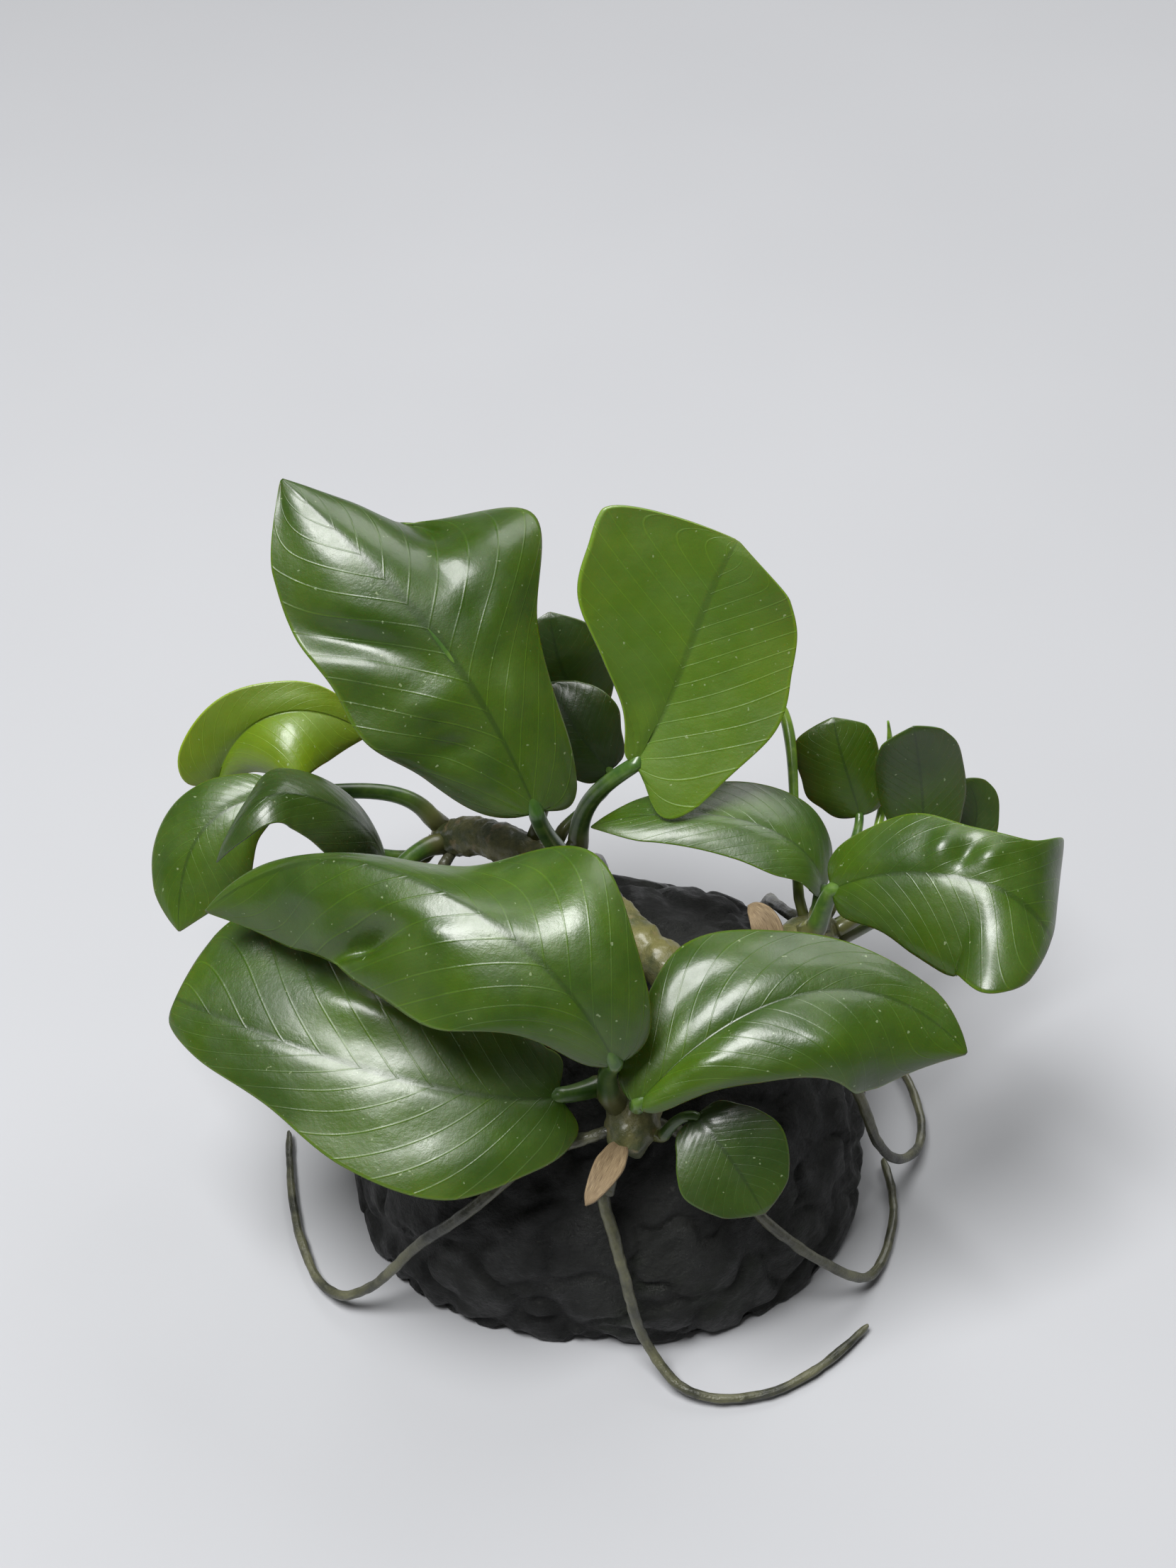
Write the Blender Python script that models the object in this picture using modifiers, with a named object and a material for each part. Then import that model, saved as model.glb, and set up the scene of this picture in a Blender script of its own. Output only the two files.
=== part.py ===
"""Anubias on stone: a small-leaved Anubias rooted onto a dark, rounded stone.

The frame is in metres with +Z up. The origin is on the stone's flat
underside, below the middle of the plant, whose front looks along -Y.

Every leaf is one solid: a blade and its stalk, grown as one piece. The blade
is a grid swept along its midrib, with a width and two slopes for each half,
thickened into a leathery sheet. The stalk is a tapered tube that runs on
under the blade as the midrib and is joined to it. The creeping rhizome is
split at its fork, and the stone, each root, each young shoot and each dry
leaf sheath are solids of their own.
"""
import math

import bmesh
import bpy
import numpy as np
from mathutils import Vector

MM = 0.001

# Driving dimensions, in millimetres.
STONE_CENTRE = (3.0, 11.0, 5.0)
STONE_HALF_SIZE = (35.0, 32.0, 28.0)
STONE_SQUARENESS = 2.4
BLADE_THICKNESS = 0.7
STALK_RADIUS = 1.15
RHIZOME_RADIUS = 3.4
ROOT_RADIUS = 0.8
ROOT_RINGS = 13
TOUCH_GAP = 0.3

# Rows along a blade, crowded where its outline turns, and cells across a half,
# on a long blade and on a short one.
BLADE_ROWS = (0.03, 0.1, 0.2, 0.34, 0.5, 0.66, 0.8, 0.91, 0.985)
CELLS_PER_HALF = (4, 3)
LONG_BLADE = 40.0
SHEATH_ROWS = (0.05, 0.3, 0.6, 0.95)
WIDTH_STATIONS = (0.1, 0.3, 0.5, 0.7, 0.9)

# Shares of a blade's length: where its tip starts to curl, and how far a fold
# or a side vein runs on towards the tip between the midrib and the margin.
HOOK_START = 0.65
BASE_REACH = 0.14
SWEEP = 0.28

# Colours: linear RGB, roughness.
LEAF_GREEN = ((0.055, 0.145, 0.018), 0.32)
LEAF_YOUNG = ((0.16, 0.28, 0.02), 0.4)
LEAF_DEEP = ((0.03, 0.085, 0.018), 0.35)
RHIZOME_GREEN = ((0.06, 0.075, 0.02), 0.6)
ROOT_OLIVE = ((0.05, 0.05, 0.03), 0.65)
SHEATH_STRAW = ((0.42, 0.31, 0.17), 0.7)
STONE_BLACK = ((0.012, 0.013, 0.012), 0.45)

# Rough lumps on the stone: azimuth and elevation in degrees, height in
# millimetres, and reach in degrees.
STONE_LUMPS = (
    (125, 48, 4.0, 26),
    (250, 40, 1.6, 20),
    (320, 20, -2.0, 24),
    (20, 45, 1.5, 22),
    (60, 15, 1.8, 20),
    (190, 15, -1.8, 22),
    (285, 8, 1.5, 16),
)

RHIZOME_MAIN = ((5, -14.5, 31.5), (7, -7, 35), (14, 3, 37.5), (24, 12, 37), (31, 19, 34.5))
RHIZOME_BACK = ((9.3, 9.3, 38.7), (5, 15, 38.8), (-2, 24, 38), (-12, 33, 36), (-20, 39.5, 30))


def half(width, slope):
    """One side of a blade.

    width: half-widths in millimetres at WIDTH_STATIONS.
    slope: degrees that the surface rises beside the midrib and at the
    margin, at the base, the middle and the tip.
    """
    return {"width": width, "slope": slope}


# rib: four guide points of the midrib, base first. stalk: the guide points
# from the rhizome to the base. face: the way the upper side looks, or for an
# arched leaf, across: the way its right-hand side points. lobe: how far the
# left and the right side sweep back past the base, as shares of the length.
# hook: how far the end of the midrib is curled away.
# folds: (place on the midrib, place across, depth, reach along, reach across).
LEAVES = {
    "leaf_back_left_large": dict(
        rib=((-6, 16, 58), (-13, 21, 78), (-22, 26, 84), (-36, 39, 90)),
        stalk=((-2, 21.5, 42), (-3, 21, 47), (-5, 17, 52)),
        face=(0, -0.72, 0.69), lobe=(0.02, 0.2), paint=LEAF_GREEN,
        left=half((9.5, 14, 13, 12, 7.5), ((10, -20), (0, -10), (0, -10))),
        right=half((7.5, 11.5, 21, 14.5, 7.5),
                   ((-10, -40), (-5, -40), (0, -50), (-20, -90), (-30, -100))),
        folds=((0.52, 0.75, -4, 0.08, 0.4), (0.42, -0.6, -2, 0.08, 0.4))),
    "leaf_back_right_large": dict(
        rib=((6, 26.5, 56), (12, 31, 65), (13, 35, 74), (18, 38, 82)),
        stalk=((-1, 27, 41.5), (-1, 29, 47), (2, 27, 52)),
        face=(0, -0.72, 0.69), lobe=(0.05, 0.42), paint=LEAF_GREEN,
        left=half((3.5, 9.5, 15, 16, 15.5), ((20, 20), (0, 20), (0, 10))),
        right=half((9.5, 13.5, 12.7, 11.3, 8), ((20, 10), (0, 0), (0, 0)))),
    "leaf_centre_large": dict(
        rib=((3.5, -16, 50), (-4, -15, 72), (-24, 6, 66.5), (-45, 6.5, 58)),
        stalk=((2.8, -11, 38.2), (2.5, -12, 43), (2.5, -14, 47)),
        face=(-0.1, -0.45, 0.9), lobe=(0.02, 0.05), hook=(0, -1.5, -6), paint=LEAF_GREEN,
        left=half((6, 13.5, 14, 12, 8.5), ((0, -30), (-5, -40), (-10, -40))),
        right=half((8, 14.5, 9, 4, 2),
                   ((20, -20), (10, -30), (-45, -65), (-45, -65), (0, -20))),
        folds=((0.44, -0.7, -2.5, 0.05, 0.35),)),
    "leaf_front_left_large": dict(
        rib=((-3, -11, 38), (-10, -16, 41), (-30, -12, 44), (-50, 1, 42)),
        stalk=((1.6, -8, 36), (0, -9, 36.5), (-1, -10, 37)),
        across=(-0.03, 0.9, 0.42), lobe=(0.2, 0.2), hook=(0.7, 0, -1), blunt=6, paint=LEAF_GREEN,
        left=half((7.5, 12.5, 11.5, 7.5, 5.5), ((0, -20), (0, -20), (0, -20))),
        right=half((7, 13, 15, 15, 16), ((5, 0), (5, -10), (0, -20)))),
    "leaf_front_right_large": dict(
        rib=((6, -16.5, 43), (14, -12, 53), (31, -1, 57), (44, -11, 46)),
        stalk=((8, -9.5, 39), (8, -12, 41), (6.5, -14.5, 41)),
        face=(0, -0.4, 0.9), lobe=(0.05, 0.02), paint=LEAF_GREEN,
        left=half((6.5, 12, 9, 5.5, 3.5), ((10, -20), (10, -40), (0, -40))),
        right=half((4.2, 8.5, 11, 12.3, 9.5), ((40, -40), (30, -50), (0, -50)))),
    "leaf_right": dict(
        rib=((30, 13, 48), (37, 10, 57), (48, 6, 58), (55, 3, 54)),
        stalk=((28.6, 13.3, 40.9), (29.2, 13.2, 44), (29.4, 13.2, 46)),
        across=(0, -0.89, -0.46), lobe=(0.1, 0.1), hook=(0, 0, -4), blunt=6, paint=LEAF_GREEN,
        left=half((5.5, 7.5, 6.5, 7.5, 14), ((10, -10), (20, -20), (0, -20))),
        right=half((5.5, 10, 12, 11.5, 12), ((0, -30), (0, -45), (0, -15)))),
    "leaf_middle": dict(
        rib=((29.5, 18, 42.5), (29, 19, 50.5), (18, 24.5, 53.5), (0.5, 22.5, 49)),
        stalk=((29.5, 17.2, 39.8), (29.5, 17.4, 41), (29.5, 18, 42)),
        across=(0.3, 1, 0), lobe=(0.05, 0.15), paint=LEAF_GREEN,
        left=half((3, 5.3, 5.3, 4.5, 3.2), ((0, -20), (0, -40), (0, -30))),
        right=half((5.5, 7.3, 7, 5.3, 3.2), ((10, -10), (10, -10), (0, -10)))),
    "leaf_left_rear": dict(
        rib=((-48, 36, 43), (-46, 37, 53), (-37, 38, 59), (-28, 38, 50)),
        stalk=((-21, 40, 33.5), (-26, 43, 40), (-40, 36, 38)),
        face=(0.1, -0.6, 0.8), lobe=(0.1, 0.03), paint=LEAF_YOUNG,
        left=half((6, 5.5, 4.2, 3.5, 2), ((20, 20), (20, 10), (10, 0))),
        right=half((3, 7, 9, 8.5, 5), ((30, -10), (30, -20), (10, -20)))),
    "leaf_left_round": dict(
        rib=((-39, 26, 51), (-45, 24, 51), (-51, 23, 49), (-51, 15, 37.5)),
        stalk=((-21.9, 36.9, 28.9), (-30, 34, 30), (-37, 30, 42)),
        face=(-0.2, -0.6, 0.75), lobe=(0.05, 0.05), paint=LEAF_GREEN,
        left=half((4, 7, 8, 8, 5), ((0, -20), (0, -30), (0, -20))),
        right=half((3.5, 5, 6, 5.5, 3.5), ((0, -20), (0, -30), (0, -20)))),
    "leaf_left_curled": dict(
        rib=((-26, 28, 34), (-25, 22, 53), (-36, 20, 61), (-46, 16, 58)),
        stalk=((-20.6, 35.8, 32.1), (-24, 33, 33), (-26, 30, 31)),
        across=(0, 1, 0), lobe=(0.05, 0.05), hook=(1, -1, -8), paint=LEAF_DEEP,
        left=half((3, 6, 5, 3.5, 2.5), ((-10, -30), (-20, -45), (-10, -30))),
        right=half((3, 4.5, 5.5, 5, 3), ((0, -30), (0, -30), (0, -20)))),
    "leaf_rear_upper": dict(
        rib=((0, 46, 46), (-3, 48, 51), (-4, 47, 55), (-5, 51, 60)),
        stalk=((-6, 32, 41), (-4, 40, 44), (0, 46, 42)),
        face=(0, -0.72, 0.69), lobe=(0.09, 0.09), paint=LEAF_DEEP,
        left=half((6, 9, 9, 7, 4), ((0, 0), (0, 0), (0, 0))),
        right=half((5, 8, 8, 6, 4), ((0, 0), (0, 0), (0, 0)))),
    "leaf_rear_lower": dict(
        rib=((3, 38, 44), (-1, 38, 50), (-3, 40, 52), (-5, 44, 54)),
        stalk=((-3, 30, 41), (0, 33, 43), (4, 37, 41)),
        face=(0, -0.72, 0.69), lobe=(0.09, 0.09), paint=LEAF_DEEP,
        left=half((4, 6, 6, 5, 3), ((0, 0), (0, 0), (0, 0))),
        right=half((4, 6, 6, 5, 3), ((0, 0), (0, 0), (0, 0)))),
    "leaf_right_rear_round": dict(
        rib=((36, 36, 38), (35, 37, 42), (33, 38, 46), (32, 42, 50)),
        stalk=((31.5, 21.4, 36.4), (34, 29, 38), (36, 34, 36)),
        face=(0, -0.72, 0.69), lobe=(0.1, 0.1), paint=LEAF_GREEN,
        left=half((4, 6, 6, 6, 5), ((0, -30), (0, -30), (0, -20))),
        right=half((4, 5, 5, 5, 4), ((0, -20), (0, -20), (0, -20)))),
    "leaf_right_rear_upright": dict(
        rib=((44, 32, 38), (44, 35, 42), (43, 36, 47), (41.5, 36, 54)),
        stalk=((33.7, 19.2, 35.3), (40, 24, 35), (43, 30, 34)),
        face=(0, -0.72, 0.69), lobe=(0.1, 0.1), paint=LEAF_DEEP,
        left=half((4.5, 5.5, 5.8, 5.5, 4), ((0, -20), (0, -20), (0, -20))),
        right=half((5, 6, 6, 5.5, 3.5), ((0, -20), (0, -20), (0, -20)))),
    "leaf_right_rear_small": dict(
        rib=((50, 35, 31), (52, 37, 34), (53, 39, 37), (50, 40, 41)),
        stalk=((33.2, 19.2, 32.6), (42, 27, 30), (48, 34, 28)),
        face=(0, -0.72, 0.69), lobe=(0.09, 0.09), paint=LEAF_DEEP,
        left=half((3, 4, 4, 3, 2), ((0, 0), (0, 0), (0, 0))),
        right=half((2, 3, 3, 3, 2), ((0, 0), (0, 0), (0, 0)))),
    "leaf_front_lower": dict(
        rib=((13, -14, 38), (15, -17, 38), (18, -19, 35), (21, -22, 30)),
        stalk=((9.3, -13, 33), (10, -13.5, 35), (11, -13.5, 38)),
        face=(0, -0.6, 0.8), lobe=(0.09, 0.09), paint=LEAF_DEEP,
        left=half((4, 6, 7, 6, 4), ((0, 0), (0, 0), (0, 0))),
        right=half((4, 6, 7, 6, 4), ((0, 0), (0, 0), (0, 0)))),
}

# Dry remnants of old leaf sheaths: a curled flake with no stalk.
SHEATHS = {
    "sheath_right": dict(
        rib=((24.5, 8, 41), (23, 10, 44), (21.5, 12, 45), (20, 14, 44)),
        face=(-0.5, -0.3, 0.8), lobe=(0, 0),
        left=half((1.6, 2, 1.9, 1.4, 0.8), ((0, 20), (0, 30), (0, 20))),
        right=half((1.6, 2, 1.9, 1.4, 0.8), ((0, 20), (0, 30), (0, 20)))),
    "sheath_front": dict(
        rib=((4, -16, 32.2), (3, -18.4, 34), (1.8, -20.8, 34.3), (0.2, -23, 32.8)),
        face=(0, -0.3, 0.95), lobe=(0, 0),
        left=half((1.4, 1.8, 1.6, 1.2, 0.7), ((0, 20), (0, 30), (0, 20))),
        right=half((1.4, 1.8, 1.6, 1.2, 0.7), ((0, 20), (0, 30), (0, 20)))),
}

# Rolled young leaves: guide points and the radius at the foot.
SHOOTS = {
    "shoot_rear": (((27, 20, 39), (26, 31, 46), (28, 44, 48), (24, 44, 52)), 0.7),
    "shoot_new": (((33, 21.5, 33.5), (37, 32, 30), (42, 44, 36), (39.5, 43.5, 48)), 0.6),
}


def unit(vector):
    length = np.linalg.norm(vector, axis=-1, keepdims=True)
    return vector / np.maximum(length, 1e-9)


def bezier(guide, along):
    """Points of a cubic curve through its four guide points."""
    t = np.asarray(along, float)[..., None]
    a, b, c, d = np.asarray(guide, float)
    return (1 - t) ** 3 * a + 3 * (1 - t) ** 2 * t * b + 3 * (1 - t) * t ** 2 * c + t ** 3 * d


def bezier_slope(guide, along):
    t = np.asarray(along, float)[..., None]
    a, b, c, d = np.asarray(guide, float)
    return 3 * ((1 - t) ** 2 * (b - a) + 2 * (1 - t) * t * (c - b) + t ** 2 * (d - c))


def smooth_between(stations, values, along):
    """Values read smoothly between evenly spaced stations."""
    stations = np.asarray(stations, float)
    values = np.asarray(values, float)
    slope = np.gradient(values, stations)
    low = np.clip(np.searchsorted(stations, along) - 1, 0, len(stations) - 2)
    step = stations[1] - stations[0]
    f = (along - stations[low]) / step
    return ((2 * f ** 3 - 3 * f ** 2 + 1) * values[low] + (f ** 3 - 2 * f ** 2 + f) * step * slope[low]
            + (3 * f ** 2 - 2 * f ** 3) * values[low + 1] + (f ** 3 - f ** 2) * step * slope[low + 1])


def base_rounding(along):
    """The share of the full width that a blade has near its base."""
    return np.sqrt(1 - (1 - np.clip(along / BASE_REACH, 0, 1)) ** 2)


def half_width(widths, along, blunt):
    """A blade's half-width: rounded at the base, drawn to a point at the tip."""
    stations = (-0.1,) + WIDTH_STATIONS + (1.1,)
    body = smooth_between(stations, (widths[0],) + widths + (0.5 * widths[-1],), along)
    base = base_rounding(along)
    tip = np.sin(0.5 * math.pi * np.clip((1 - along) / 0.16, 0, 1)) ** (0.8 / blunt)
    return np.maximum(body * base * tip, 0.7)


def midrib_frame(leaf, along):
    """Point, direction, upper side and right-hand side of the midrib."""
    curl = np.clip((along - HOOK_START) / (1 - HOOK_START), 0, 1)[..., None]
    hook = np.asarray(leaf.get("hook", (0, 0, 0)), float)
    point = bezier(leaf["rib"], along) + hook * curl ** 2
    forward = unit(bezier_slope(leaf["rib"], along) + hook * 2 * curl / (1 - HOOK_START))
    if "across" in leaf:
        right = unit(np.asarray(leaf["across"], float))
        right = unit(right - (forward @ right)[..., None] * forward)
        return point, forward, np.cross(right, forward), right
    up = unit(np.asarray(leaf["face"], float))
    up = unit(up - (forward @ up)[..., None] * forward)
    return point, forward, up, np.cross(forward, up)


def rib_length(leaf):
    points = bezier(leaf["rib"], np.linspace(0, 1, 50))
    return float(np.linalg.norm(np.diff(points, axis=0), axis=1).sum())


def blade_points(leaf, along, across):
    """Places on a blade's middle surface; across runs from -1 to 1."""
    length = rib_length(leaf)
    side = "right" if across > 0 else "left"
    width = half_width(leaf[side]["width"], along, leaf.get("blunt", 1))
    slope = np.asarray(leaf[side]["slope"], float)
    stations = np.linspace(0, 1, len(slope))
    inner = smooth_between(stations, slope[:, 0], along)
    outer = smooth_between(stations, slope[:, 1], along)
    reach = abs(across)
    part = np.linspace(0, reach, 13)
    angle = np.radians(inner[:, None] + (outer - inner)[:, None] * part)
    out = width * np.cos(angle).mean(axis=1) * reach
    lift = width * np.sin(angle).mean(axis=1) * reach
    for place, side_place, depth, long_reach, side_reach in leaf.get("folds", ()):
        swept = along - SWEEP * reach - place
        near = (swept / long_reach) ** 2 + ((across - side_place) / side_reach) ** 2
        lift = lift + depth * np.exp(-near)
    backward = leaf["lobe"][int(across > 0)] * np.exp(-along / 0.1) * base_rounding(along) ** 1.6
    forward = 0.06 * np.sin(math.pi * along)
    moved = along + (forward - backward) * reach ** 1.6
    inside = np.clip(moved, 0, 1)
    point, ahead, up, right = midrib_frame(leaf, inside)
    point = point + ahead * ((moved - inside) * length)[:, None]
    return point + np.sign(across) * right * out[:, None] + up * lift[:, None]


def stone_radius(direction):
    """The stone's radius from its centre along unit directions."""
    scaled = np.abs(direction) / np.asarray(STONE_HALF_SIZE)
    radius = (scaled ** STONE_SQUARENESS).sum(axis=-1) ** (-1 / STONE_SQUARENESS)
    for azimuth, elevation, height, reach in STONE_LUMPS:
        a, e = math.radians(azimuth), math.radians(elevation)
        way = np.array((math.cos(e) * math.cos(a), math.cos(e) * math.sin(a), math.sin(e)))
        away = np.degrees(np.arccos(np.clip(direction @ way, -1, 1)))
        radius = radius + height * np.exp(-(away / reach) ** 2)
    return radius


def over_stone(azimuth, elevation, lift):
    """A point above the stone's skin, by its direction from the centre."""
    a, e = math.radians(azimuth), math.radians(elevation)
    way = np.array((math.cos(e) * math.cos(a), math.cos(e) * math.sin(a), math.sin(e)))
    return np.asarray(STONE_CENTRE) + way * (float(stone_radius(way)) + lift)


def paint(obj, colour):
    rgb, roughness = colour
    material = bpy.data.materials.new(obj.name)
    material.use_nodes = True
    shader = material.node_tree.nodes["Principled BSDF"]
    shader.inputs["Base Color"].default_value = (*rgb, 1.0)
    shader.inputs["Roughness"].default_value = roughness
    shader.inputs["Metallic"].default_value = 0.0
    obj.data.materials.clear()
    obj.data.materials.append(material)


def tube(name, points, radii, collection):
    """A closed tapered tube through points given in millimetres, as a mesh."""
    curve = bpy.data.curves.new(name, "CURVE")
    curve.dimensions = "3D"
    curve.bevel_depth = MM
    curve.bevel_resolution = 2
    curve.use_fill_caps = True
    spline = curve.splines.new("POLY")
    spline.points.add(len(points) - 1)
    for knot, place, radius in zip(spline.points, points, radii):
        knot.co = (*(float(c) * MM for c in place), 1.0)
        knot.radius = float(radius)
    holder = bpy.data.objects.new(name + "_path", curve)
    collection.objects.link(holder)
    bpy.context.view_layer.update()
    evaluated = holder.evaluated_get(bpy.context.evaluated_depsgraph_get())
    mesh = bpy.data.meshes.new_from_object(evaluated)
    obj = bpy.data.objects.new(name, mesh)
    obj.matrix_world = holder.matrix_world.copy()
    collection.objects.link(obj)
    bpy.data.objects.remove(holder)
    bm = bmesh.new()
    bm.from_mesh(mesh)
    bmesh.ops.remove_doubles(bm, verts=bm.verts, dist=1e-6)
    bmesh.ops.recalc_face_normals(bm, faces=bm.faces)
    bm.to_mesh(mesh)
    bm.free()
    mesh.shade_smooth()
    return obj


def join_to(obj, other):
    """Boolean union of a second solid, hidden as a cutter, into the first."""
    union = obj.modifiers.new("joined_" + other.name, "BOOLEAN")
    union.operation = "UNION"
    union.solver = "EXACT"
    union.use_self = True
    union.object = other
    other.hide_render = True
    other.display_type = "WIRE"


def build_blade(name, leaf, rows, cells, collection):
    """A grid shaped to the blade's surface and thickened to both sides."""
    rows = np.asarray(rows)
    bm = bmesh.new()
    columns = 2 * cells
    bmesh.ops.create_grid(bm, x_segments=columns, y_segments=len(rows) - 1, size=1.0)
    sheet = {}
    for column in range(columns + 1):
        across = column / cells - 1.0
        sheet[column] = blade_points(leaf, rows, across)
    for vert in bm.verts:
        column = round((vert.co.x + 1) * 0.5 * columns)
        row = round((vert.co.y + 1) * 0.5 * (len(rows) - 1))
        vert.co = Vector(sheet[column][row] * MM)
    mesh = bpy.data.meshes.new(name)
    bm.to_mesh(mesh)
    bm.free()
    mesh.shade_smooth()
    blade = bpy.data.objects.new(name, mesh)
    collection.objects.link(blade)
    thick = blade.modifiers.new("thickness", "SOLIDIFY")
    thick.thickness = BLADE_THICKNESS * MM
    thick.offset = 0.0
    thick.use_rim = True
    return blade


def build_leaf(name, leaf, parts, cutters):
    """A blade with its stalk and midrib joined to it."""
    length = rib_length(leaf)
    cells = CELLS_PER_HALF[0] if length > LONG_BLADE else CELLS_PER_HALF[1]
    blade = build_blade(name, leaf, BLADE_ROWS, cells, parts)
    stalk = bezier(tuple(leaf["stalk"]) + (leaf["rib"][0],), np.linspace(0, 1, 5))
    point, _, up, _ = midrib_frame(leaf, np.linspace(0.1, 0.58, 4))
    rib = point - up * 0.35
    points = np.concatenate((stalk, rib))
    taper = np.concatenate((np.linspace(1.1, 0.85, 5), (0.7, 0.6, 0.5, 0.4)))
    radii = STALK_RADIUS * taper * min(1.0, max(0.6, length / 30.0))
    join_to(blade, tube(name + "_stalk", points, radii, cutters))
    paint(blade, leaf["paint"])


def build_stone(parts, cutters):
    """A rounded boulder, cut flat underneath so that it rests on the floor."""
    bm = bmesh.new()
    bmesh.ops.create_icosphere(bm, subdivisions=4, radius=1.0)
    for vert in bm.verts:
        way = np.array(vert.co.normalized())
        vert.co = Vector((np.asarray(STONE_CENTRE) + way * stone_radius(way)) * MM)
    mesh = bpy.data.meshes.new("stone")
    bm.to_mesh(mesh)
    bm.free()
    mesh.shade_smooth()
    stone = bpy.data.objects.new("stone", mesh)
    parts.objects.link(stone)
    depth = 60 * MM
    block = bpy.data.meshes.new("floor_cut")
    bm = bmesh.new()
    bmesh.ops.create_cube(bm, size=1.0)
    bmesh.ops.scale(bm, vec=(0.3, 0.3, depth), verts=bm.verts)
    bmesh.ops.translate(bm, vec=(0.0, 0.0, -0.5 * depth), verts=bm.verts)
    bm.to_mesh(block)
    bm.free()
    cutter = bpy.data.objects.new("floor_cut", block)
    cutters.objects.link(cutter)
    cutter.hide_render = True
    cutter.display_type = "WIRE"
    cut = stone.modifiers.new("flat_base", "BOOLEAN")
    cut.operation = "DIFFERENCE"
    cut.solver = "EXACT"
    cut.object = cutter
    paint(stone, STONE_BLACK)


def smooth_path(guide, count):
    """A smooth line through hand-placed points, evenly stepped."""
    guide = np.asarray(guide, float)
    stations = np.arange(len(guide), dtype=float)
    along = np.linspace(0, len(guide) - 1, count)
    return np.stack([smooth_between(stations, guide[:, k], along) for k in range(3)], axis=1)


def build_rhizomes(parts):
    """The creeping stem, thickened at each old leaf scar."""
    for name, guide in (("rhizome_main", RHIZOME_MAIN), ("rhizome_back_fork", RHIZOME_BACK)):
        points = smooth_path(guide, 15)
        ring = np.arange(15)
        radii = RHIZOME_RADIUS * (1 + 0.05 * np.cos(ring * math.pi))
        radii[[0, -1]] *= 0.6
        if name == "rhizome_back_fork":
            radii *= 0.82
        paint(tube(name, points, radii, parts), RHIZOME_GREEN)


def root_paths():
    """Guide points of each root: from the rhizome, over the stone, along the floor."""
    lift = ROOT_RADIUS + TOUCH_GAP + 0.5
    low = ROOT_RADIUS + TOUCH_GAP
    return {
        "root_front_left": [(1.3, -12.1, 31.7)]
        + [over_stone(a, e, lift) for a, e in ((250, 44), (240, 30), (228, 14))]
        + [(-26, -16, 6), (-33, -14, low), (-38, -2, low), (-40, 12, low)],
        "root_front": [(3.5, -14.9, 29.4)]
        + [over_stone(a, e, lift) for a, e in ((268, 38), (272, 26), (275, 12))]
        + [(8, -24, 5), (14, -29, low), (26, -27, low), (36, -18, low)],
        "root_front_right": [(9.9, -9.8, 30.9)]
        + [over_stone(a, e, lift) for a, e in ((292, 48), (300, 36), (308, 20))]
        + [(33, -14, 6), (38, -10, low), (41, 0, low), (40, 8, low)],
        "root_right": [(27.7, 11.2, 33)]
        + [over_stone(a, e, lift) for a, e in ((352, 42), (348, 28), (345, 12))]
        + [(42, 5, 4.5), (46, 12, low), (44, 24, low), (36, 35, low)],
        "root_rear_right": [(28.7, 21.1, 32.8)]
        + [over_stone(a, e, lift) for a, e in ((40, 38), (50, 24), (56, 8))]
        + [(25, 41, 4.5), (20, 44, low), (8, 47.5, low), (-2, 47, low)],
        "root_rear": [(-3.2, 29.7, 34.9)]
        + [over_stone(a, e, lift) for a, e in ((95, 48), (92, 34), (90, 16))]
        + [(-3, 47, 6), (-9, 47, low), (-18, 44, low), (-30, 38, low)],
        "root_left": [(-18.8, 34.2, 30.4)]
        + [over_stone(a, e, lift) for a, e in ((150, 36), (160, 24), (170, 10))]
        + [(-37, 15, 4.5), (-40, 18, low), (-42, 24, low), (-40, 32, low)],
    }


def build_roots(parts):
    for name, guide in root_paths().items():
        points = smooth_path(guide, ROOT_RINGS)
        points[:, 2] = np.maximum(points[:, 2], ROOT_RADIUS + TOUCH_GAP)
        radii = ROOT_RADIUS * np.linspace(1.1, 0.7, ROOT_RINGS)
        paint(tube(name, points, radii, parts), ROOT_OLIVE)


def build_shoots(parts):
    for name, (guide, radius) in SHOOTS.items():
        along = np.linspace(0, 1, 7)
        radii = radius * np.array((1, 0.9, 0.85, 0.95, 1.1, 1.0, 0.3))
        paint(tube(name, bezier(guide, along), radii, parts), LEAF_YOUNG)


def main():
    for old in list(bpy.data.objects):
        bpy.data.objects.remove(old)
    parts = bpy.data.collections.new("anubias_on_stone")
    cutters = bpy.data.collections.new("cutters")
    for collection in (parts, cutters):
        bpy.context.scene.collection.children.link(collection)
    build_stone(parts, cutters)
    build_rhizomes(parts)
    build_roots(parts)
    build_shoots(parts)
    for name, leaf in LEAVES.items():
        build_leaf(name, leaf, parts, cutters)
    for name, leaf in SHEATHS.items():
        paint(build_blade(name, leaf, SHEATH_ROWS, 1, parts), SHEATH_STRAW)


main()
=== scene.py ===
import math

import bmesh
import bpy
import numpy as np
from mathutils import Matrix, Vector, noise
from mathutils.bvhtree import BVHTree


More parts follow.
